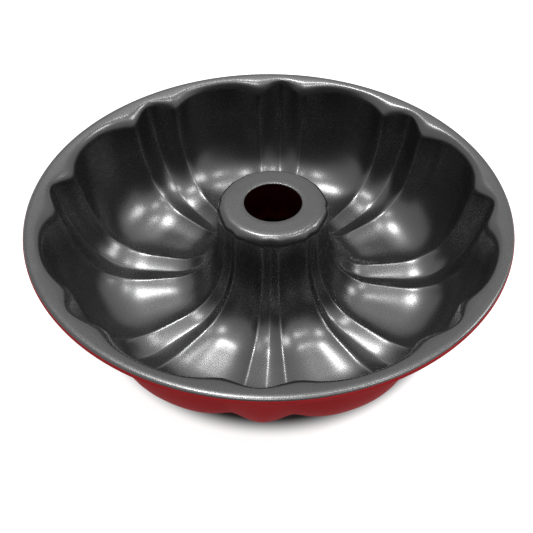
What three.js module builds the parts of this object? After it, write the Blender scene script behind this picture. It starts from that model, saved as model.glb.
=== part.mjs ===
import * as THREE from 'three';

// A fluted ring pan: one deep-drawn steel sheet with a non-stick lining inside and a red coat outside.
// Units are millimetres and degrees. +Z is up, the axis of the tube is Z and the pan stands on z = 0.

// Overall sizes
const RIM_RADIUS = 131;
const PAN_HEIGHT = 70.5;
const SHEET = 0.7;
const COATING = 0.15;

// Rolled rim, and the flange that dips from it towards the flutes
const CURL_RADIUS = 1.9;
const CURL_END_ANGLE = -180;
const CURL_STEPS = 5;
const COAT_LINE_ANGLE = 45;
const LINED_CURL_STEPS = 1;
const FLANGE_SLOPE = 13;

// Flutes: narrow vees with a ridge on each side, and a round scoop between each two of them
const FLUTE_COUNT = 8;
const VEE_HALF_ANGLE = 7.7;
const SCOOP_FULLNESS = 2.6;
const SCOOP_STEPS = 4;
const PAD_FLATTENING = 0.7;

// Lines that run over the sheet from the tube to the rim: their depth below the ridges at the rim, on the floor
// and at the tube's top, and the reach and height of their rounded corner to the flange
const RIDGE = { rim: 0, floor: 0, tube: 0, cornerReach: 8, cornerHeight: 9 };
const VEE = { rim: 8.15, floor: 2.8, tube: 1.3, cornerReach: 1.2, cornerHeight: 1.2 };
const SCOOP = { rim: 7.3, floor: 3.6, tube: 1, cornerReach: 2.4, cornerHeight: 4 };
const CORNER_STEPS = 2;

// Section of the pan along a ridge
const WALL_RADIUS = 115.5;
const WALL_FULLNESS = 2.9;
const WALL_STEPS = 4;
const FLOOR_OUTER_RADIUS = 73;
const FLOOR_INNER_RADIUS = 66;
const TUBE_RADIUS = 30.9;
const TUBE_FULLNESS = 2.4;
const TUBE_STEPS = 4;
const TUBE_CORNER = 5;
const TUBE_DROP = 8.3;
const HOLE_RADIUS = 16.5;

// Heights of the sheet's upper face
const FLANGE_FACE = PAN_HEIGHT - COATING;
const TUBE_FACE = FLANGE_FACE - TUBE_DROP;
const PAD_FACE = COATING + SHEET;
const FLOOR_FACE = PAD_FACE + SCOOP.floor - PAD_FLATTENING;

// Middle of the rolled rim's bead
const CURL_CENTRE_RADIUS = RIM_RADIUS - CURL_RADIUS;
const CURL_CENTRE_HEIGHT = PAN_HEIGHT - CURL_RADIUS;

const COLOURS = { lining: 0x55555a, steel: 0xb4b5b8, coat: 0x8c2128 };

const radians = THREE.MathUtils.degToRad;
const lerp = THREE.MathUtils.lerp;

// Shares from 0 to 1 in equal steps
function shares(steps) {
  return Array.from({ length: steps + 1 }, (_, step) => step / steps);
}

// One point of a section of the sheet's upper face; facing is the normal there, towards the food
function place(r, z, facing) {
  return { r, z, facing };
}

// Heights of the faces above the tube's corner and above the wall's corner
function tubeTop() {
  return TUBE_FACE;
}

function flangeTop(r) {
  return FLANGE_FACE - (CURL_CENTRE_RADIUS - r) * Math.tan(radians(FLANGE_SLOPE));
}

// Side of the channel along one line, from its top to the floor at equal turns of its normal. On a ridge it is a
// quarter of a superellipse, and the other lines sink from it along its normal.
function channelSide({ topRadius, topHeight, floorRadius, fullness, steps }, topFall, topDepth, floorDepth) {
  const width = topRadius - floorRadius;
  const drop = topHeight - FLOOR_FACE;
  return shares(steps).map((share) => {
    const steepness = Math.tan(radians(90 * share)) * (drop / Math.abs(width));
    const ratio = steepness ** (1 / (fullness - 1));
    const fromTop = ratio / (1 + ratio ** fullness) ** (1 / fullness);
    const down = Math.min(lerp(topFall / drop, 1, fromTop), 1);
    const across = (1 - down ** fullness) ** (1 / fullness);
    const sink = new THREE.Vector2(across ** (fullness - 1) / width, -(down ** (fullness - 1)) / drop);
    sink.normalize();
    const depth = lerp(topDepth, floorDepth, down);
    const r = floorRadius + width * across + depth * sink.x;
    const z = topHeight - drop * down + depth * sink.y;
    return place(r, z, [-sink.x, -sink.y]);
  });
}

// Rounded corner, a quarter of an ellipse from an upright edge up to the face above it, without the edge itself
function corner(edge, endRadius, top) {
  const reach = endRadius - edge.r;
  const fall = top(edge.r) - edge.z;
  const slope = (top(endRadius) - top(edge.r)) / reach;
  return shares(CORNER_STEPS).slice(1).map((share) => {
    const turn = radians(90 * share);
    const r = lerp(edge.r, endRadius, 1 - Math.cos(turn));
    const z = top(r) - fall * (1 - Math.sin(turn));
    const run = reach * Math.sin(turn);
    const rise = slope * run + fall * Math.cos(turn);
    const facing = new THREE.Vector2(-rise, run).multiplyScalar(Math.sign(reach)).normalize();
    return place(r, z, facing.toArray());
  });
}

// The rolled rim, between two angles of its bead
function curlArc(fromAngle, toAngle, steps) {
  return shares(steps).slice(1).map((share) => {
    const angle = radians(lerp(fromAngle, toAngle, share));
    const facing = [Math.cos(angle), Math.sin(angle)];
    const radius = CURL_RADIUS - COATING;
    return place(CURL_CENTRE_RADIUS + radius * facing[0], CURL_CENTRE_HEIGHT + radius * facing[1], facing);
  });
}

// Places that are the same all round: the hole's edge, the flange above the curl's end, and the curl
const holeEdge = place(HOLE_RADIUS, TUBE_FACE, [0, 1]);
const curlStart = place(CURL_CENTRE_RADIUS, FLANGE_FACE, [0, 1]);
const linedCurl = curlArc(90, COAT_LINE_ANGLE, LINED_CURL_STEPS);
const coatedCurl = curlArc(COAT_LINE_ANGLE, CURL_END_ANGLE, CURL_STEPS);
const coatLine = linedCurl.at(-1);
const rootRadius = coatedCurl.at(-1).r;
const flangeFacing = [-Math.sin(radians(FLANGE_SLOPE)), Math.cos(radians(FLANGE_SLOPE))];
const curlRoot = place(rootRadius, flangeTop(rootRadius), flangeFacing);

const tubeSide = {
  topRadius: TUBE_RADIUS,
  topHeight: TUBE_FACE - TUBE_CORNER,
  floorRadius: FLOOR_INNER_RADIUS,
  fullness: TUBE_FULLNESS,
  steps: TUBE_STEPS,
};
const wallSide = {
  topRadius: WALL_RADIUS,
  topHeight: flangeTop(WALL_RADIUS),
  floorRadius: FLOOR_OUTER_RADIUS,
  fullness: WALL_FULLNESS,
  steps: WALL_STEPS,
};

// The whole section along one line, from the edge of the hole to the end of the rolled rim
function section(line) {
  const tube = channelSide(tubeSide, 0, line.tube, line.floor);
  const wall = channelSide(wallSide, line.cornerHeight, line.rim, line.floor);
  const tubeCorner = corner(tube[0], TUBE_RADIUS - TUBE_CORNER, tubeTop);
  const rimCorner = corner(wall[0], WALL_RADIUS + line.rim + line.cornerReach, flangeTop);
  const bowl = [...tubeCorner.toReversed(), ...tube, ...wall.toReversed(), ...rimCorner];
  return [holeEdge, ...bowl, curlRoot, curlStart, ...linedCurl, ...coatedCurl];
}

const ridge = section(RIDGE);
const vee = section(VEE);
const scoop = section(SCOOP);

// Angles of the section planes: the middle of each vee, then its ridge and steps across the scoop beside it
const PITCH = 360 / FLUTE_COUNT;
const SCOOP_HALF_ANGLE = PITCH / 2 - VEE_HALF_ANGLE;
const planes = Array.from({ length: FLUTE_COUNT }, (_, flute) => {
  const acrossScoop = shares(SCOOP_STEPS).map((share) => PITCH / 2 + lerp(-1, 1, share) * SCOOP_HALF_ANGLE);
  return [0, ...acrossScoop].map((angle) => flute * PITCH + angle);
}).flat();

// Place of one row at one angle, between the ridge and the middle of the flute, and pressed flat at the pads
function sectionPlace(row, angle) {
  const fromVee = Math.abs(angle - PITCH * Math.round(angle / PITCH));
  const fromScoop = Math.abs(PITCH / 2 - fromVee) / SCOOP_HALF_ANGLE;
  const inVee = fromVee < VEE_HALF_ANGLE;
  const share = 1 - (inVee ? fromVee / VEE_HALF_ANGLE : fromScoop ** SCOOP_FULLNESS);
  const [high, low] = [ridge[row], inVee ? vee[row] : scoop[row]];
  const r = lerp(high.r, low.r, share);
  const z = lerp(high.z, low.z, share);
  if (z < PAD_FACE) return place(r, PAD_FACE, [0, 1]);
  return place(r, z, high.facing.map((part, axis) => lerp(part, low.facing[axis], share)));
}

// Point of the sheet's upper face, moved along its normal towards the food
function surfacePoint(row, angle, lift) {
  const { r, z, facing } = sectionPlace(row, angle);
  const turn = 0.01;
  const before = sectionPlace(row, angle - turn);
  const after = sectionPlace(row, angle + turn);
  const slopeR = (after.r - before.r) / radians(2 * turn);
  const slopeZ = z > PAD_FACE ? (after.z - before.z) / radians(2 * turn) : 0;
  const normal = new THREE.Vector3(facing[0], -(facing[0] * slopeR + facing[1] * slopeZ) / r, facing[1]);
  normal.normalize().multiplyScalar(lift);
  const point = new THREE.Vector3(r + normal.x, normal.y, z + normal.z);
  return point.applyAxisAngle(new THREE.Vector3(0, 0, 1), radians(angle));
}

// Rows of points, one row for each row of the section
function face(rows, lift) {
  return rows.map((row) => planes.map((angle) => surfacePoint(row, angle, lift)));
}

// Closed ring between an upper and a lower face, which have the same rows of points.
// Each quad is split along its shorter diagonal, so faces that touch are split alike.
function ringGeometry(upper, lower) {
  const points = [...upper, ...lower].flat();
  const columns = planes.length;
  const triangles = [];
  const band = (rowA, rowB, flipped) => {
    for (let column = 0; column < columns; column += 1) {
      const next = (column + 1) % columns;
      const [a, b] = [rowA * columns + column, rowB * columns + column];
      const [c, d] = [rowB * columns + next, rowA * columns + next];
      const alongAC = points[a].distanceToSquared(points[c]) < points[b].distanceToSquared(points[d]);
      const halves = alongAC ? [[a, b, c], [a, c, d]] : [[a, b, d], [b, c, d]];
      halves.forEach((half) => triangles.push(...(flipped ? half.reverse() : half)));
    }
  };
  const last = upper.length - 1;
  for (let row = 0; row < last; row += 1) {
    band(row, row + 1, false);
    band(upper.length + row, upper.length + row + 1, true);
  }
  band(last, upper.length + last, false);
  band(upper.length, 0, false);
  const geometry = new THREE.BufferGeometry().setFromPoints(points);
  geometry.setIndex(triangles);
  geometry.computeVertexNormals();
  return geometry;
}

function piece(name, geometry, color, roughness, metalness) {
  const mesh = new THREE.Mesh(geometry, new THREE.MeshStandardMaterial({ color, roughness, metalness }));
  mesh.name = name;
  return mesh;
}

// Rows of the section that each layer covers
const allRows = ridge.map((_, row) => row);
const linedRows = allRows.slice(0, ridge.indexOf(coatLine) + 1);
const undersideRows = allRows.slice(0, ridge.indexOf(curlRoot) + 1);
const coatedCurlRows = allRows.slice(ridge.indexOf(coatLine)).reverse();

// The lining covers the food side and the top of the rolled rim
function nonstickLining() {
  const geometry = ringGeometry(face(linedRows, COATING), face(linedRows, 0));
  return piece('nonstick_lining', geometry, COLOURS.lining, 0.38, 0.6);
}

// The pressed sheet, from the punched hole to the end of the rolled rim
function steelShell() {
  const geometry = ringGeometry(face(allRows, 0), face(allRows, -SHEET));
  return piece('steel_shell', geometry, COLOURS.steel, 0.35, 1);
}

// The red coat covers the underside and comes up round the rolled rim to the edge of the lining
function redOuterCoat() {
  const inner = [...face(undersideRows, -SHEET), ...face(coatedCurlRows, 0)];
  const outer = [...face(undersideRows, -SHEET - COATING), ...face(coatedCurlRows, COATING)];
  return piece('red_outer_coat', ringGeometry(inner, outer), COLOURS.coat, 0.45, 0.2);
}

const pan = new THREE.Group();
pan.name = 'fluted_tube_pan';
pan.add(nonstickLining(), steelShell(), redOuterCoat());

export default pan;
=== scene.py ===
"""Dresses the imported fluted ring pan: a fine solid for each layer, its finishes and a studio."""

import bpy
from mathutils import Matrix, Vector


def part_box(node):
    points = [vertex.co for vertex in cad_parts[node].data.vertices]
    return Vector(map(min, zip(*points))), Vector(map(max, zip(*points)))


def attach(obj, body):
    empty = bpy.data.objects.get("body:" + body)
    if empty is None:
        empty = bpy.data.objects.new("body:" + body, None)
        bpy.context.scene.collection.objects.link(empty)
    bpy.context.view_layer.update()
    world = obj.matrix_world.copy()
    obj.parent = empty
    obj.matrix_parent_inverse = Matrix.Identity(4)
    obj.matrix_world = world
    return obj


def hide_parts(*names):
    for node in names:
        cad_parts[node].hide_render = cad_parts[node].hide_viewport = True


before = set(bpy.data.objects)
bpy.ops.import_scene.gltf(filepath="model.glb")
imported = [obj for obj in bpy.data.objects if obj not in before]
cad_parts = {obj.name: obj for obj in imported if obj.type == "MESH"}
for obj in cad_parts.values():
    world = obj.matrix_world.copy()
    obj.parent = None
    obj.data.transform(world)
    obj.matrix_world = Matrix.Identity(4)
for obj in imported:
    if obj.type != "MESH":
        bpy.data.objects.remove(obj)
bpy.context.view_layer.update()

import math
from typing import NamedTuple

import bpy
import numpy as np
from mathutils import Matrix, Vector

bl_info = {
    "name": "Fluted ring pan",
    "version": (1, 0, 0),
    "blender": (4, 5, 0),
    "location": "View3D > Sidebar > Ring Pan",
    "description": "Presses, coats and stages a fluted ring pan",
    "category": "Add Mesh",
}

BODY = "root"
MM = 0.001

# How finely the sheet is divided
VEE_COLUMNS = 9
SCOOP_COLUMNS = 13
SCOOP_CROWDING = 1.5
HOLE_LIP_ROWS = 3
TUBE_TOP_ROWS = 4
TUBE_CORNER_ROWS = 7
TUBE_SIDE_ROWS = 22
FLOOR_ROWS = 3
WALL_SIDE_ROWS = 24
RIM_CORNER_ROWS = 9
FLANGE_ROWS = 4
LINED_CURL_ROWS = 8
COATED_CURL_ROWS = 14
CREASE_TAPS = 9
MERGE_DISTANCE = 1e-6
SMOOTH_ANGLE = math.radians(40)

# Marks in the finishes: grains per metre, and how strong and how deep the relief of the finest is
LINING_GRAIN = 1300
LINING_CLOUD = 70
COAT_PEEL = 900
COAT_CLOUD = 45
STEEL_MARKS = 1800
GRAIN_BUMP = 0.025
GRAIN_DEPTH = 0.04 * MM
PEEL_BUMP = 0.1
PEEL_DEPTH = 0.05 * MM

# Directions in the studio: azimuth from the back towards the right, and elevation, in degrees
FRONT = (180, 0)
OVERHEAD = (63, 79)
KEY = (-21, 66)

# Cosines from the front between which the surroundings, as the pan mirrors them, turn dim
FRONT_FADE = (0.4, 0.8)

# Lamps round the pan: directions as above, sizes in metres and power in watts
LAMP_DISTANCE = 1.2
LAMPS = {
    "key_softbox": {
        "azimuth": -21, "elevation": 67.5, "width": 0.17, "height": 0.22, "power": 6.8},
    "rear_softbox": {
        "azimuth": 34, "elevation": 67, "width": 0.14, "height": 0.14, "power": 1.3},
    "front_softbox": {
        "azimuth": -160, "elevation": 78, "width": 0.2, "height": 0.2, "power": 2.6},
    "right_overhead": {
        "azimuth": 109, "elevation": 62.5, "width": 0.16, "height": 0.16, "power": 1.4},
    "right_softbox": {
        "azimuth": 76, "elevation": 39.5, "width": 0.28, "height": 0.28, "power": 3.5},
}

# Studio sizes in metres
FLOOR_SIZE = 8
CLIP_START = 0.01


def length(name, description, millimetres):
    """A size property, with its default given in millimetres."""
    return bpy.props.FloatProperty(
        name=name, description=description, default=millimetres * MM,
        unit="LENGTH", precision=5, min=0.0)


def angle(name, description, degrees):
    """An angle property, with its default given in degrees."""
    return bpy.props.FloatProperty(
        name=name, description=description, default=math.radians(degrees),
        subtype="ANGLE", precision=3)


def number(name, description, default):
    """A plain number property."""
    return bpy.props.FloatProperty(name=name, description=description, default=default, min=0.0)


def colour(name, description, default):
    """A colour property, in linear light."""
    return bpy.props.FloatVectorProperty(
        name=name, description=description, default=default,
        subtype="COLOR", size=3, min=0.0, max=1.0)


class PanShape(bpy.types.PropertyGroup):
    """Sizes of the pressed sheet and of its two coats"""

    rim_radius: length(
        "Rim radius", "Outside of the rolled rim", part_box("red_outer_coat")[1].x / MM)
    pan_height: length(
        "Height", "From the pads to the top of the rolled rim",
        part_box("nonstick_lining")[1].z / MM)
    sheet: length("Sheet", "Thickness of the steel", 0.7)
    coating: length("Coating", "Thickness of the lining and of the red coat", 0.15)
    curl_radius: length("Curl radius", "Half the thickness of the rolled rim", 1.9)
    curl_end: angle("Curl end", "Where the rolled edge ends, round its bead", -180)
    coat_line: angle("Coat line", "Where lining and red coat meet, round the bead", 45)
    flange_slope: angle("Flange slope", "How much the flange dips towards the flutes", 13)
    flange_turn: length(
        "Flange turn", "Width over which the flange turns down from the rolled rim", 2)
    vee_corner_reach: length(
        "Vee corner reach", "Rounding between a vee and the flange, outwards", 1.6)
    vee_corner_height: length(
        "Vee corner height", "Rounding between a vee and the flange, downwards", 1.6)
    scoop_corner_reach: length(
        "Scoop corner reach", "Rounding between a scoop and the flange, outwards", 2.8)
    scoop_corner_height: length(
        "Scoop corner height", "Rounding between a scoop and the flange, downwards", 4.4)
    ridge_corner_reach: length(
        "Ridge corner reach", "Web between a ridge and the flange, outwards", 8)
    ridge_corner_height: length(
        "Ridge corner height", "Web between a ridge and the flange, downwards", 9)
    flutes: bpy.props.IntProperty(
        name="Flutes", description="Vees round the pan", default=8, min=3)
    vee_half_angle: angle("Vee half angle", "From the middle of a vee to its ridge", 7.7)
    crease_angle: angle(
        "Crease angle", "Half the width of the rounding of ridges and vees", 1.1)
    wall_crease_angle: angle("Wall crease angle", "The same up the wall", 3.2)
    rim_crease_angle: angle("Rim crease angle", "The same where they run into the flange", 4)
    tube_crease_angle: angle("Tube crease angle", "The same at the top of the tube", 6)
    crease_run: length("Crease run", "Height over which the wider roundings fade", 9)
    vee_fullness: number("Vee fullness", "1 is a straight-sided vee", 1.35)
    scoop_fullness: number("Scoop fullness", "2 is a parabola between the ridges", 2.6)
    vee_depth_rim: length("Vee depth at rim", "Below the ridges", 8.15)
    vee_depth_floor: length("Vee depth on floor", "Below the ridges", 2.8)
    vee_depth_tube: length("Vee depth at tube", "Below the ridges", 0.9)
    scoop_depth_rim: length("Scoop depth at rim", "Below the ridges", 7.3)
    scoop_depth_floor: length("Scoop depth on floor", "Below the ridges", 3.3)
    scoop_depth_tube: length("Scoop depth at tube", "Below the ridges", 0.6)
    pad_flattening: length(
        "Pad flattening", "How much of each scoop's crown is pressed in", 0.2)
    wall_radius: length("Wall radius", "Top of the wall along a ridge", 115.5)
    wall_fullness: number("Wall fullness", "Squareness of the wall's curve to the floor", 2.9)
    floor_outer_radius: length("Floor outer radius", "Where the wall's curve starts", 73)
    floor_inner_radius: length("Floor inner radius", "Where the tube's curve starts", 66)
    tube_radius: length("Tube radius", "Top of the tube along a ridge", 32.2)
    tube_fullness: number("Tube fullness", "Squareness of the tube's curve to the floor", 2.4)
    tube_corner_reach: length(
        "Tube corner reach", "Rounding of the tube's upper edge, outwards", 5.2)
    tube_corner_height: length(
        "Tube corner height", "Rounding of the tube's upper edge, downwards", 6)
    tube_drop: length("Tube drop", "From the flange down to the tube's top", 8.3)
    hole_radius: length("Hole radius", "Punched hole in the tube's top", 16.5)
    hole_lip: length("Hole lip", "Rounding of the lining into the punched hole", 0.5)
    # Painted highlight lines along ridges and vees: their half width, and the height where they end
    # and fade
    line_width: length(
        "Line width", "Half the width of the light lines along ridges and vees", 0.9)
    line_top: length("Line top", "Height at which these lines end", 58)
    line_fade: length("Line fade", "Height over which they fade below their top", 6)


class PanFinish(bpy.types.PropertyGroup):
    """Colours and roughness of the pan's surfaces"""

    lining: colour("Lining", "Graphite non-stick coating", (0.074, 0.074, 0.075))
    lining_fleck: colour("Lining fleck", "Lighter grains in the lining", (0.1, 0.1, 0.101))
    # Painted highlight: a lighter colour along ridges and vees stands in for their reflections,
    # mixed in up to this share
    lining_highlight_lines: colour(
        "Lining wear", "Thin coating along the ridges and the vees", (0.24, 0.24, 0.24))
    highlight_line_share: number("Wear share", "How much of the lining is thin there at most", 0.7)
    lining_metal: number("Lining metal", "How metallic the lining is", 0.9)
    lining_roughness: number("Lining roughness", "Roughness of the smoothest lining", 0.2)
    grain_roughness: number("Grain roughness", "What the lining's grain adds at most", 0.08)
    cloud_roughness: number("Cloud roughness", "What the lining's clouds add at most", 0.06)
    red_coat: colour("Red coat", "Coat on the outside", (0.38, 0.026, 0.029))
    red_coat_dark: colour(
        "Red coat, dark", "Darker clouds in the red coat", (0.32, 0.02, 0.023))
    # Painted shade: the coat inside the tube is darkened where little light reaches
    red_coat_painted_shade: colour(
        "Red coat, thin", "Coat inside the tube, where little of it reaches",
        (0.08, 0.004, 0.005))
    coat_gloss: number("Coat gloss", "Specular level of the red coat", 0.004)
    coat_roughness: number("Coat roughness", "Roughness of the smoothest red coat", 0.42)
    peel_roughness: number("Peel roughness", "What the red coat's peel adds at most", 0.08)
    steel: colour("Steel", "Bare sheet at the cut edges", (0.62, 0.62, 0.63))
    steel_dull: colour("Steel, dull", "Darker marks on the bare sheet", (0.496, 0.496, 0.504))
    steel_roughness: number("Steel roughness", "Roughness of the smoothest steel", 0.28)
    mark_roughness: number("Mark roughness", "What the marks on the steel add at most", 0.15)


class PanStage(bpy.types.PropertyGroup):
    """Camera, floor and light of the studio"""

    camera_distance: length("Camera distance", "From the middle of the rim", 313.74)
    camera_elevation: angle("Camera elevation", "Above the rim, seen from its middle", 39.2525)
    camera_turn: angle("Camera turn", "Round the pan from its front", 2.9765)
    camera_pitch: angle("Camera pitch", "Down from level", 46.953)
    camera_yaw: angle("Camera yaw", "To the right of the axis", 3.6099)
    camera_roll: angle("Camera roll", "Round the line of sight", 2.3159)
    camera_lens: number("Lens", "Focal length in millimetres on a 36 mm sensor", 37.87)
    camera_shift: bpy.props.FloatProperty(
        name="Shift", description="Sideways shift of the lens", default=-0.0583)
    floor: colour("Floor", "Pale floor", (0.6, 0.6, 0.6))
    # Painted shadow on the floor beneath the pan, between the shade start and end
    floor_shade: colour("Floor shade", "Floor in the gloom beneath the pan", (0.1, 0.1, 0.1))
    floor_glow: number(
        "Floor glow", "Light that the floor sends to the camera besides what it reflects", 0.87)
    shade_start: length(
        "Shade start", "Radius up to which the floor beneath the pan is dark", 100.5)
    shade_end: length(
        "Shade end", "Radius from which the floor is pale and glows in full", 112.5)
    ambient: number("Ambient", "Strength of the light from all round", 0.45)
    front_level: number(
        "Front level", "Brightness of the surroundings in front, as the pan mirrors them", 0.12)
    overhead_glow: number(
        "Overhead glow", "Brightness that a broad glow adds overhead", 0.95)
    overhead_focus: number("Overhead focus", "How tightly this glow gathers", 5)
    key_glow: number("Key glow", "Brightness that a soft glow adds round the key", 0.5)
    key_focus: number("Key focus", "How tightly this glow gathers", 18)
    lamp_level: number("Lamp level", "Scales the power of every lamp", 1.0)


def mix(first, second, share):
    """Value between two others."""
    return first + (second - first) * share


class Side(NamedTuple):
    """One side of the channel: its section along a ridge, and flute depths at its top and foot."""

    top_radius: float
    top_height: float
    floor_radius: float
    fullness: float
    vee_depths: tuple
    scoop_depths: tuple


class PressedSheet:
    """Points of the sheet's food side, row by row from the hole to the end of the rolled rim."""

    def __init__(self, shape):
        self.shape = shape
        self.flange_face = shape.pan_height - shape.coating
        self.curl_centre = shape.rim_radius - shape.curl_radius
        self.tube_face = self.flange_face - shape.tube_drop
        self.pad_face = shape.coating + shape.sheet
        self.floor_face = self.pad_face + shape.scoop_depth_floor - shape.pad_flattening
        self.angles = self.column_angles()
        bowl = [*self.tube_rows(), *self.floor_rows(), *self.wall_rows()]
        lined_curl = self.curl_rows(math.pi / 2, shape.coat_line, LINED_CURL_ROWS)
        coated_curl = self.curl_rows(shape.coat_line, shape.curl_end, COATED_CURL_ROWS)
        curl_root = self.flange_row(coated_curl[-1][0][0])
        flange_radii = np.linspace(curl_root[0][0], self.curl_centre, FLANGE_ROWS + 1)[1:]
        flange = [self.flange_row(radius) for radius in flange_radii]
        self.root_row = len(bowl)
        self.line_row = self.root_row + FLANGE_ROWS + LINED_CURL_ROWS
        self.points = self.in_space([*bowl, curl_root, *flange, *lined_curl, *coated_curl])
        self.normals = self.food_side_normals()

    def column_angles(self):
        """Angles of the section planes, closer together at the ridges and in the vees' middles."""
        shape = self.shape
        half_pitch = math.pi / shape.flutes
        vee_steps = np.linspace(0, 1, VEE_COLUMNS + 1)
        scoop_steps = np.linspace(0, 1, SCOOP_COLUMNS + 1)[1:]
        vee = shape.vee_half_angle * (0.5 - 0.5 * np.cos(math.pi * vee_steps))
        scoop = mix(shape.vee_half_angle, half_pitch, scoop_steps ** SCOOP_CROWDING)
        half = np.concatenate([vee, scoop])
        pitch = np.concatenate([half, 2 * half_pitch - half[-2:0:-1]])
        return np.concatenate([pitch + 2 * half_pitch * flute for flute in range(shape.flutes)])

    def flute_shares(self, crease_angle):
        """How far each plane lies down a vee and down a scoop, from 0 on a ridge to 1 midway."""
        shape = self.shape
        pitch = 2 * math.pi / shape.flutes
        scoop_half_angle = pitch / 2 - shape.vee_half_angle
        taps = np.linspace(-1, 1, CREASE_TAPS + 2)[1:-1]
        weights = np.cos(taps * math.pi / 2) ** 2
        around = self.angles + crease_angle * taps[:, None]
        from_vee = np.abs(around - pitch * np.round(around / pitch))
        from_scoop = np.abs(pitch / 2 - from_vee) / scoop_half_angle
        vee = 1 - np.minimum(from_vee / shape.vee_half_angle, 1) ** shape.vee_fullness
        scoop = 1 - np.minimum(from_scoop, 1) ** shape.scoop_fullness
        return [np.average(part, axis=0, weights=weights) for part in (vee, scoop)]

    def even_row(self, radius, height):
        """A row of the same radius and height all round."""
        return np.full_like(self.angles, radius), np.full_like(self.angles, height)

    def flange_height(self, radius):
        """Height of the flange's face at a radius: level at the rolled rim, then sloping down."""
        turn = self.shape.flange_turn
        inward = self.curl_centre - radius
        fall = np.where(inward < turn, inward ** 2 / (2 * turn), inward - turn / 2)
        return self.flange_face - fall * math.tan(self.shape.flange_slope)

    def flange_row(self, radius):
        """A row on the flange, of the same radius all round."""
        return self.even_row(radius, self.flange_height(radius))

    def pressed(self, height):
        """Height on the floor with the scoops' crowns pressed in to the level of the pads."""
        dent = self.shape.pad_flattening
        above = height - self.pad_face + dent
        return height + dent * np.exp(-above / dent)

    def side_row(self, side, crease_angle, down):
        """Row of one side of the channel; down goes from 0 at its top to 1 on the floor."""
        width = side.top_radius - side.floor_radius
        drop = side.top_height - self.floor_face
        across = (1 - down ** side.fullness) ** (1 / side.fullness)
        push_out = across ** (side.fullness - 1) / width
        push_down = down ** (side.fullness - 1) / drop
        reach = np.hypot(push_out, push_down)
        vee, scoop = self.flute_shares(crease_angle)
        sink = vee * mix(*side.vee_depths, down) + scoop * mix(*side.scoop_depths, down)
        radius = side.floor_radius + width * across + sink * push_out / reach
        height = side.top_height - drop * down - sink * push_down / reach
        return radius, self.pressed(height)

    def even_turns(self, side, rows):
        """Downward shares at equal turns of a side's normal, from its top to near the floor."""
        turns = np.linspace(0, math.pi / 2, rows + 1)[:-1]
        width = abs(side.top_radius - side.floor_radius)
        slope = np.tan(turns) * (side.top_height - self.floor_face) / width
        ratio = slope ** (1 / (side.fullness - 1))
        return ratio / (1 + ratio ** side.fullness) ** (1 / side.fullness)

    def tube_rows(self):
        """The tube's top, its rounded edge and its side."""
        shape = self.shape
        tube = Side(
            top_radius=shape.tube_radius,
            top_height=self.tube_face - shape.tube_corner_height,
            floor_radius=shape.floor_inner_radius,
            fullness=shape.tube_fullness,
            vee_depths=(shape.vee_depth_tube, shape.vee_depth_floor),
            scoop_depths=(shape.scoop_depth_tube, shape.scoop_depth_floor),
        )
        downs = self.even_turns(tube, TUBE_SIDE_ROWS)
        run = shape.crease_run / (tube.top_height - self.floor_face)
        creases = np.interp(downs, (0, run), (shape.tube_crease_angle, shape.crease_angle))
        side = [self.side_row(tube, crease, down) for crease, down in zip(creases, downs)]
        edge_radius, edge_height = side[0]
        flat_radius = shape.tube_radius - shape.tube_corner_reach
        corner = []
        for turn in np.linspace(math.pi / 2, 0, TUBE_CORNER_ROWS + 1)[:-1]:
            radius = mix(flat_radius, edge_radius, math.cos(turn))
            corner.append((radius, edge_height + shape.tube_corner_height * math.sin(turn)))
        lip = []
        for turn in np.linspace(0, math.pi / 2, HOLE_LIP_ROWS + 1):
            radius = shape.hole_radius + shape.hole_lip * (1 - math.cos(turn))
            height = self.tube_face - shape.hole_lip * (1 - math.sin(turn))
            lip.append(self.even_row(radius, height))
        lip_radius = shape.hole_radius + shape.hole_lip
        flat = [
            self.even_row(mix(lip_radius, flat_radius, share), self.tube_face)
            for share in np.linspace(0, 1, TUBE_TOP_ROWS + 1)[1:-1]
        ]
        return [*lip, *flat, *corner, *side]

    def floor_rows(self):
        """The narrow floor between the curves of the tube and of the wall."""
        shape = self.shape
        vee, scoop = self.flute_shares(shape.crease_angle)
        sink = vee * shape.vee_depth_floor + scoop * shape.scoop_depth_floor
        height = self.pressed(self.floor_face - sink)
        radii = np.linspace(shape.floor_inner_radius, shape.floor_outer_radius, FLOOR_ROWS)
        return [(np.full_like(height, radius), height) for radius in radii]

    def wall_rows(self):
        """The wall, and its rounded corner to the flange, which is largest on the ridges."""
        shape = self.shape
        vee, scoop = self.flute_shares(shape.rim_crease_angle)
        ridge = 1 - vee - scoop
        reach = (
            vee * shape.vee_corner_reach
            + scoop * shape.scoop_corner_reach
            + ridge * shape.ridge_corner_reach
        )
        corner_height = (
            vee * shape.vee_corner_height
            + scoop * shape.scoop_corner_height
            + ridge * shape.ridge_corner_height
        )
        flute_depth = vee * shape.vee_depth_rim + scoop * shape.scoop_depth_rim
        end_radius = shape.wall_radius + flute_depth + reach
        wall = Side(
            top_radius=shape.wall_radius,
            top_height=self.flange_height(shape.wall_radius),
            floor_radius=shape.floor_outer_radius,
            fullness=shape.wall_fullness,
            vee_depths=(shape.vee_depth_rim, shape.vee_depth_floor),
            scoop_depths=(shape.scoop_depth_rim, shape.scoop_depth_floor),
        )
        drop = wall.top_height - self.floor_face
        run = shape.crease_run / drop
        downs = self.even_turns(wall, WALL_SIDE_ROWS)[::-1]
        creases = np.interp(downs, (0, run, 1 - run, 1), (
            shape.rim_crease_angle,
            shape.wall_crease_angle,
            shape.wall_crease_angle,
            shape.crease_angle,
        ))
        corner_share = corner_height / drop
        rows = [
            self.side_row(wall, crease, mix(corner_share, 1, down))
            for crease, down in zip(creases, downs)
        ]
        edge_radius, edge_height = rows[-1]
        rise = self.flange_height(edge_radius) - edge_height
        for turn in np.linspace(0, math.pi / 2, RIM_CORNER_ROWS + 1)[1:]:
            radius = mix(edge_radius, end_radius, 1 - math.cos(turn))
            rows.append((radius, self.flange_height(radius) - rise * (1 - math.sin(turn))))
        return rows

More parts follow.
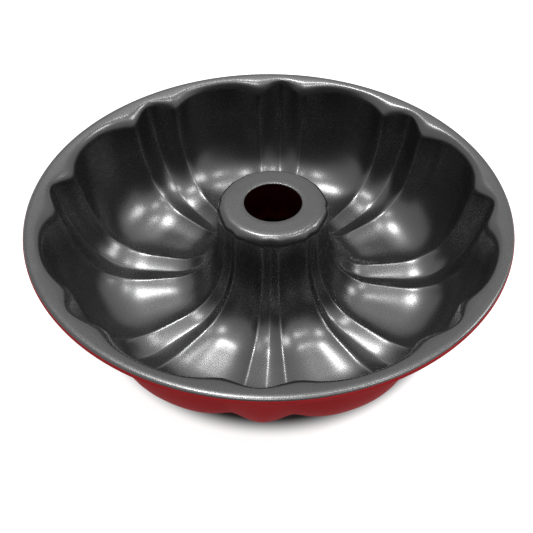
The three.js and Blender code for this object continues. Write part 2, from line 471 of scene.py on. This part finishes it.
    def curl_rows(self, start, end, rows):
        """Rows of the rolled rim between two angles round its bead."""
        shape = self.shape
        bead = shape.curl_radius - shape.coating
        centre_height = shape.pan_height - shape.curl_radius
        return [
            self.even_row(
                self.curl_centre + bead * math.cos(turn), centre_height + bead * math.sin(turn))
            for turn in np.linspace(start, end, rows + 1)[1:]
        ]

    def in_space(self, rows):
        """The rows as points, one row of columns for each of them."""
        radius, height = (np.array(part) for part in zip(*rows))
        x = radius * np.cos(self.angles)
        y = radius * np.sin(self.angles)
        return np.stack([x, y, height], axis=-1)

    def food_side_normals(self):
        """Normals of the sheet, towards the food."""
        along = np.gradient(self.points, axis=0)
        around = np.roll(self.points, -1, axis=1) - np.roll(self.points, 1, axis=1)
        normals = np.cross(along, around)
        return normals / np.linalg.norm(normals, axis=-1, keepdims=True)

    def face(self, rows, lift):
        """Points of some rows, moved by lift towards the food."""
        return self.points[rows] + lift * self.normals[rows]


def deselect_all():
    """Leaves nothing selected, so that an operator acts only on what is added next."""
    if bpy.context.mode != "OBJECT":
        bpy.ops.object.mode_set(mode="OBJECT")
    bpy.ops.object.select_all(action="DESELECT")


def ring_piece(name, upper, lower):
    """Closed ring between two faces of the sheet: its section spun round, then pressed."""
    outline = np.concatenate([upper, lower[::-1]])
    rows, columns = outline.shape[:2]
    deselect_all()
    bpy.ops.mesh.primitive_circle_add(vertices=rows, fill_type="NOTHING")
    piece = bpy.context.active_object
    piece.name = name
    mesh = piece.data
    mesh.name = name
    mesh.vertices.foreach_set("co", outline[:, 0].ravel())
    mesh.attributes.new("row", "INT", "POINT").data.foreach_set("value", np.arange(rows))
    bpy.ops.object.mode_set(mode="EDIT")
    bpy.ops.mesh.select_all(action="SELECT")
    bpy.ops.mesh.spin(steps=columns, angle=2 * math.pi, center=(0, 0, 0), axis=(0, 0, 1))
    bpy.ops.mesh.select_all(action="SELECT")
    bpy.ops.mesh.remove_doubles(threshold=MERGE_DISTANCE)
    bpy.ops.object.mode_set(mode="OBJECT")
    points = rows * columns
    if len(mesh.vertices) != points:
        raise RuntimeError(f"{name} spun into {len(mesh.vertices)} points instead of {points}")
    press_flutes(mesh, outline)
    bpy.ops.object.mode_set(mode="EDIT")
    bpy.ops.mesh.select_all(action="SELECT")
    bpy.ops.mesh.normals_make_consistent(inside=False)
    bpy.ops.object.mode_set(mode="OBJECT")
    bpy.ops.object.shade_smooth_by_angle(angle=SMOOTH_ANGLE)
    return piece


def press_flutes(mesh, outline):
    """Moves the points of a round, evenly spun ring to the section planes of the fluted one."""
    columns = outline.shape[1]
    places = np.empty(len(mesh.vertices) * 3)
    mesh.vertices.foreach_get("co", places)
    x, y, _ = places.reshape(-1, 3).T
    turn = np.arctan2(y, x) / (2 * math.pi)
    column = np.round(turn * columns).astype(int) % columns
    row = np.empty(len(mesh.vertices), dtype=np.int32)
    mesh.attributes["row"].data.foreach_get("value", row)
    mesh.vertices.foreach_set("co", outline[row, column].ravel())
    mesh.attributes.remove(mesh.attributes["row"])
    mesh.update()


class Signal:
    """A socket's value in a material or world; arithmetic on it adds Math nodes."""

    def __init__(self, finish, socket):
        self.finish = finish
        self.socket = socket

    def math(self, operation, *values):
        """Math node with the values as its inputs, in the order given."""
        inputs = dict(enumerate(values))
        return self.finish.node("ShaderNodeMath", {"operation": operation}, inputs)

    def __add__(self, other):
        return self.math("ADD", self, other)

    __radd__ = __add__

    def __sub__(self, other):
        return self.math("SUBTRACT", self, other)

    def __rsub__(self, other):
        return self.math("SUBTRACT", other, self)

    def __mul__(self, other):
        return self.math("MULTIPLY", self, other)

    __rmul__ = __mul__

    def __pow__(self, other):
        return self.math("POWER", self, other)


class Finish:
    """A material or world made of nodes."""

    def __init__(self, owner):
        owner.use_nodes = True
        self.tree = owner.node_tree
        self.tree.nodes.clear()

    def node(self, kind, settings=None, sockets=None, output=0):
        """Adds a node with its settings and its sockets' values or links, and gives an output."""
        node = self.tree.nodes.new(kind)
        for key, value in (settings or {}).items():
            setattr(node, key, value)
        for key, value in (sockets or {}).items():
            if isinstance(value, Signal):
                self.tree.links.new(value.socket, node.inputs[key])
            else:
                node.inputs[key].default_value = value
        return Signal(self, node.outputs[output]) if node.outputs else None

    def vector_math(self, operation, first, second=(0, 0, 0), output="Value"):
        """Vector Math node on one or two vectors."""
        return self.node(
            "ShaderNodeVectorMath", {"operation": operation}, {0: first, 1: second}, output)

    def noise(self, place, scale):
        """Noise from 0 to 1, with its grains about 1 / scale metres wide."""
        return self.node("ShaderNodeTexNoise", {}, {"Vector": place, "Scale": scale}, "Fac")

    def bump(self, height, strength, depth):
        """Normal of a surface with a fine relief."""
        sockets = {"Strength": strength, "Distance": depth, "Height": height}
        return self.node("ShaderNodeBump", {}, sockets, "Normal")

    def blend_colour(self, first, second, share):
        """Colour between two others."""
        ends = [end if isinstance(end, Signal) else (*end, 1) for end in (first, second)]
        sockets = {0: share, 6: ends[0], 7: ends[1]}
        return self.node("ShaderNodeMix", {"data_type": "RGBA"}, sockets, output=2)

    def ramp(self, value, start, end):
        """Smooth step from 0 where the value is at the start to 1 where it is at the end."""
        steps = {"Value": value, "From Min": start, "From Max": end}
        return self.node("ShaderNodeMapRange", {"interpolation_type": "SMOOTHSTEP"}, steps)

    def from_axis(self, place):
        """Distance of a place from the pan's axis."""
        across = self.vector_math("MULTIPLY", place, (1, 1, 0), output="Vector")
        return self.vector_math("LENGTH", across)

    def cosine(self, direction, aim):
        """Cosine between a direction and a fixed one, and 0 beyond a right angle."""
        along = self.vector_math("DOT_PRODUCT", direction, aim)
        return along.math("MAXIMUM", along, 0.0)

    def surface(self, sockets):
        """Ends the material in one principled shader."""
        shader = self.node("ShaderNodeBsdfPrincipled", {}, sockets)
        self.node("ShaderNodeOutputMaterial", {}, {"Surface": shader})


def flute_highlight_lines(finish, place, shape):
    """Where highlight lines are painted: 1 along the ridges and in the vees' middles, up to the
    lines' top, and 0 beside them.
    """
    x, y, z = (finish.node("ShaderNodeSeparateXYZ", {}, {0: place}, axis) for axis in "XYZ")
    half_pitch = math.pi / shape.flutes
    from_vee = y.math("PINGPONG", y.math("ARCTAN2", y, x), half_pitch)
    from_ridge = from_vee.math("ABSOLUTE", from_vee - shape.vee_half_angle)
    beside = finish.from_axis(place) * from_vee.math("MINIMUM", from_vee, from_ridge)
    line = finish.ramp(beside, shape.line_width, 0)
    return line * finish.ramp(z, shape.line_top, shape.line_top - shape.line_fade)


def lining_finish(look, shape):
    """Satin graphite non-stick: a dark metallic film with grain, and painted highlight lines along
    ridges and vees.
    """
    material = bpy.data.materials.new("graphite_nonstick")
    finish = Finish(material)
    place = finish.node("ShaderNodeTexCoord", output="Object")
    grain = finish.noise(place, LINING_GRAIN)
    cloud = finish.noise(place, LINING_CLOUD)
    film = finish.blend_colour(look.lining, look.lining_fleck, grain)
    # Painted highlight lines along ridges and vees, in place of their reflections
    painted_highlight = look.highlight_line_share * cloud * flute_highlight_lines(finish, place, shape)
    roughness = look.lining_roughness + look.grain_roughness * grain + look.cloud_roughness * cloud
    finish.surface({
        "Base Color": finish.blend_colour(film, look.lining_highlight_lines, painted_highlight),
        "Metallic": look.lining_metal,
        "Roughness": roughness,
        "Normal": finish.bump(grain, GRAIN_BUMP, GRAIN_DEPTH),
    })
    return material


def red_finish(look, shape):
    """Satin red enamel with a slight orange peel, darkened inside the tube by painted shade."""
    material = bpy.data.materials.new("red_enamel")
    finish = Finish(material)
    place = finish.node("ShaderNodeTexCoord", output="Object")
    peel = finish.noise(place, COAT_PEEL)
    cloud = finish.noise(place, COAT_CLOUD)
    coat = finish.blend_colour(look.red_coat, look.red_coat_dark, cloud)
    # Painted shade inside the tube, fading out from the tube's side to its full radius
    full_radius = shape.tube_radius + shape.tube_corner_reach
    unshaded_coat = finish.ramp(finish.from_axis(place), shape.tube_radius, full_radius)
    finish.surface({
        "Base Color": finish.blend_colour(look.red_coat_painted_shade, coat, unshaded_coat),
        "Specular IOR Level": look.coat_gloss,
        "Roughness": look.coat_roughness + look.peel_roughness * peel,
        "Normal": finish.bump(peel, PEEL_BUMP, PEEL_DEPTH),
    })
    return material


def steel_finish(look):
    """Bare sheet with the fine marks of the punch."""
    material = bpy.data.materials.new("bare_steel")
    finish = Finish(material)
    place = finish.node("ShaderNodeTexCoord", output="Object")
    marks = finish.noise(place, STEEL_MARKS)
    finish.surface({
        "Base Color": finish.blend_colour(look.steel, look.steel_dull, marks),
        "Metallic": 1.0,
        "Roughness": look.steel_roughness + look.mark_roughness * marks,
    })
    return material


def dress(piece, node, material):
    """Gives a finished piece its material, and puts it in the place of its solid."""
    piece.data.materials.append(material)
    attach(piece, BODY)
    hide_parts(node)


class RINGPAN_OT_nonstick_lining(bpy.types.Operator):
    """Adds the non-stick lining, from the hole to the outside of the rolled rim"""

    bl_idname = "ringpan.nonstick_lining"
    bl_label = "Non-stick Lining"

    def execute(self, context):
        shape = context.scene.pan_shape
        sheet = PressedSheet(shape)
        lined = np.arange(sheet.line_row + 1)
        piece = ring_piece("lining", sheet.face(lined, shape.coating), sheet.face(lined, 0))
        finish = lining_finish(context.scene.pan_finish, shape)
        dress(piece, "nonstick_lining", finish)
        return {"FINISHED"}


class RINGPAN_OT_steel_shell(bpy.types.Operator):
    """Adds the pressed steel sheet, bare at its two cut edges"""

    bl_idname = "ringpan.steel_shell"
    bl_label = "Steel Shell"

    def execute(self, context):
        shape = context.scene.pan_shape
        sheet = PressedSheet(shape)
        rows = np.arange(len(sheet.points))
        piece = ring_piece("pressed_sheet", sheet.face(rows, 0), sheet.face(rows, -shape.sheet))
        finish = steel_finish(context.scene.pan_finish)
        dress(piece, "steel_shell", finish)
        return {"FINISHED"}


class RINGPAN_OT_red_outer_coat(bpy.types.Operator):
    """Adds the red coat, over the underside and round the rolled rim"""

    bl_idname = "ringpan.red_outer_coat"
    bl_label = "Red Outer Coat"

    def execute(self, context):
        shape = context.scene.pan_shape
        sheet = PressedSheet(shape)
        underside = np.arange(sheet.root_row + 1)
        round_curl = np.arange(len(sheet.points) - 1, sheet.line_row - 1, -1)
        inner = [sheet.face(underside, -shape.sheet), sheet.face(round_curl, 0)]
        outer = [
            sheet.face(underside, -shape.sheet - shape.coating),
            sheet.face(round_curl, shape.coating),
        ]
        piece = ring_piece("red_coat", np.concatenate(inner), np.concatenate(outer))
        finish = red_finish(context.scene.pan_finish, shape)
        dress(piece, "red_outer_coat", finish)
        return {"FINISHED"}


def add_camera(shape, stage):
    """The camera, placed from the middle of the rim and turned by its own angles."""
    data = bpy.data.cameras.new("photo_camera")
    data.lens = stage.camera_lens
    data.shift_x = stage.camera_shift
    data.clip_start = CLIP_START
    camera = bpy.data.objects.new("photo_camera", data)
    bpy.context.scene.collection.objects.link(camera)
    turn = Matrix.Rotation(stage.camera_turn, 3, "Z")
    reach = stage.camera_distance
    level = reach * math.cos(stage.camera_elevation)
    above = reach * math.sin(stage.camera_elevation)
    place = Vector((0, -level, above + shape.pan_height))
    ahead = math.cos(stage.camera_pitch)
    forward = Vector((
        math.sin(stage.camera_yaw) * ahead,
        math.cos(stage.camera_yaw) * ahead,
        -math.sin(stage.camera_pitch),
    ))
    right = Vector((math.cos(stage.camera_yaw), -math.sin(stage.camera_yaw), 0))
    up = right.cross(forward)
    roll_cos = math.cos(stage.camera_roll)
    roll_sin = math.sin(stage.camera_roll)
    across = turn @ (roll_cos * right + roll_sin * up)
    upright = turn @ (roll_cos * up - roll_sin * right)
    axes = Matrix((across, upright, -(turn @ forward))).transposed()
    camera.matrix_world = Matrix.Translation(turn @ place) @ axes.to_4x4()
    bpy.context.scene.camera = camera


def towards_light(azimuth, elevation):
    """Direction from the pan to a light; azimuth is from the back to the right, in degrees."""
    turn = math.radians(azimuth)
    rise = math.radians(elevation)
    side = math.cos(rise)
    return Vector((math.sin(turn) * side, math.cos(turn) * side, math.sin(rise)))


def add_softbox(name, azimuth, elevation, width, height, power, level, target):
    """A rectangular lamp facing the target."""
    data = bpy.data.lights.new(name, "AREA")
    data.energy = power * level
    data.shape = "RECTANGLE"
    data.size = width
    data.size_y = height
    lamp = bpy.data.objects.new(name, data)
    bpy.context.scene.collection.objects.link(lamp)
    towards = towards_light(azimuth, elevation)
    lamp.location = target + LAMP_DISTANCE * towards
    lamp.rotation_euler = towards.to_track_quat("Z", "Y").to_euler()


def seen_background(finish):
    """1 for rays that show a background: straight to the camera, or mirrored or bent on the way."""
    kinds = ("Is Camera Ray", "Is Glossy Ray", "Is Transmission Ray")
    camera, glossy, bent = (finish.node("ShaderNodeLightPath", output=kind) for kind in kinds)
    return camera.math("MAXIMUM", camera, camera.math("MAXIMUM", glossy, bent))


def add_floor(stage):
    """A wide pale floor that glows towards the camera and keeps the pan's shadow, with a painted
    shadow that darkens it beneath the pan.
    """
    deselect_all()
    bpy.ops.mesh.primitive_plane_add(size=FLOOR_SIZE)
    floor = bpy.context.active_object
    floor.name = "studio_floor"
    material = bpy.data.materials.new("studio_floor")
    finish = Finish(material)
    place = finish.node("ShaderNodeTexCoord", output="Object")
    # Painted shadow: colour and glow fade to dark from the shade end in to the shade start
    outside_painted_shadow = finish.ramp(finish.from_axis(place), stage.shade_start, stage.shade_end)
    colour_there = finish.blend_colour(stage.floor_shade, stage.floor, outside_painted_shadow)
    pale = finish.node("ShaderNodeBsdfDiffuse", {}, {"Color": colour_there})
    strength = stage.floor_glow * outside_painted_shadow * seen_background(finish)
    glow = finish.node("ShaderNodeEmission", {}, {"Strength": strength})
    both = finish.node("ShaderNodeAddShader", {}, {0: pale, 1: glow})
    finish.node("ShaderNodeOutputMaterial", {}, {"Surface": both})
    floor.data.materials.append(material)


def light_world(stage):
    """White to the camera; mirrored, it is dim in front and glows overhead and round the key."""
    world = bpy.data.worlds.new("studio")
    bpy.context.scene.world = world
    finish = Finish(world)
    direction = finish.node("ShaderNodeTexCoord", output="Generated")
    front, overhead, key = (
        finish.cosine(direction, towards_light(*aim)) for aim in (FRONT, OVERHEAD, KEY))
    dimmed = (1 - stage.front_level) * finish.ramp(front, *FRONT_FADE)
    overhead_glow = stage.overhead_glow * overhead ** stage.overhead_focus
    key_glow = stage.key_glow * key ** stage.key_focus
    mirrored = 1 - dimmed + overhead_glow + key_glow
    to_camera = finish.node("ShaderNodeLightPath", output="Is Camera Ray")
    background = mirrored.math("MAXIMUM", mirrored, to_camera)
    strength = stage.ambient + (background - stage.ambient) * seen_background(finish)
    sky = finish.node("ShaderNodeBackground", {}, {"Color": (1, 1, 1, 1), "Strength": strength})
    finish.node("ShaderNodeOutputWorld", {}, {"Surface": sky})


class RINGPAN_OT_stage(bpy.types.Operator):
    """Adds the camera, the floor, the surroundings and the lamps"""

    bl_idname = "ringpan.stage"
    bl_label = "Studio"

    def execute(self, context):
        stage = context.scene.pan_stage
        shape = context.scene.pan_shape
        context.scene.view_settings.view_transform = "Standard"
        add_camera(shape, stage)
        add_floor(stage)
        light_world(stage)
        middle = Vector((0, 0, shape.pan_height / 2))
        for name, lamp in LAMPS.items():
            add_softbox(name, **lamp, level=stage.lamp_level, target=middle)
        return {"FINISHED"}


class RINGPAN_PT_sidebar(bpy.types.Panel):
    """Lists the pan's pieces and settings"""

    bl_idname = "RINGPAN_PT_sidebar"
    bl_label = "Fluted Ring Pan"
    bl_space_type = "VIEW_3D"
    bl_region_type = "UI"
    bl_category = "Ring Pan"

    def draw(self, context):
        for operator in OPERATORS:
            self.layout.operator(operator.bl_idname)
        for settings in GROUPS:
            group = getattr(context.scene, settings)
            column = self.layout.column(heading=settings.replace("_", " ").title())
            for key in group.bl_rna.properties.keys():
                if key not in {"rna_type", "name"}:
                    column.prop(group, key)


OPERATORS = (
    RINGPAN_OT_nonstick_lining,
    RINGPAN_OT_steel_shell,
    RINGPAN_OT_red_outer_coat,
    RINGPAN_OT_stage,
)
GROUPS = {"pan_shape": PanShape, "pan_finish": PanFinish, "pan_stage": PanStage}
CLASSES = (*GROUPS.values(), *OPERATORS, RINGPAN_PT_sidebar)


def register():
    """Makes the settings, operators and panel known, and gives each scene its settings."""
    for each in CLASSES:
        bpy.utils.register_class(each)
    for name, group in GROUPS.items():
        setattr(bpy.types.Scene, name, bpy.props.PointerProperty(type=group))


def unregister():
    """Takes back what register does."""
    for name in GROUPS:
        delattr(bpy.types.Scene, name)
    for each in reversed(CLASSES):
        bpy.utils.unregister_class(each)


def main():
    """Builds the pan and its studio."""
    register()
    bpy.ops.ringpan.nonstick_lining()
    bpy.ops.ringpan.steel_shell()
    bpy.ops.ringpan.red_outer_coat()
    bpy.ops.ringpan.stage()


if __name__ == "__main__":
    main()
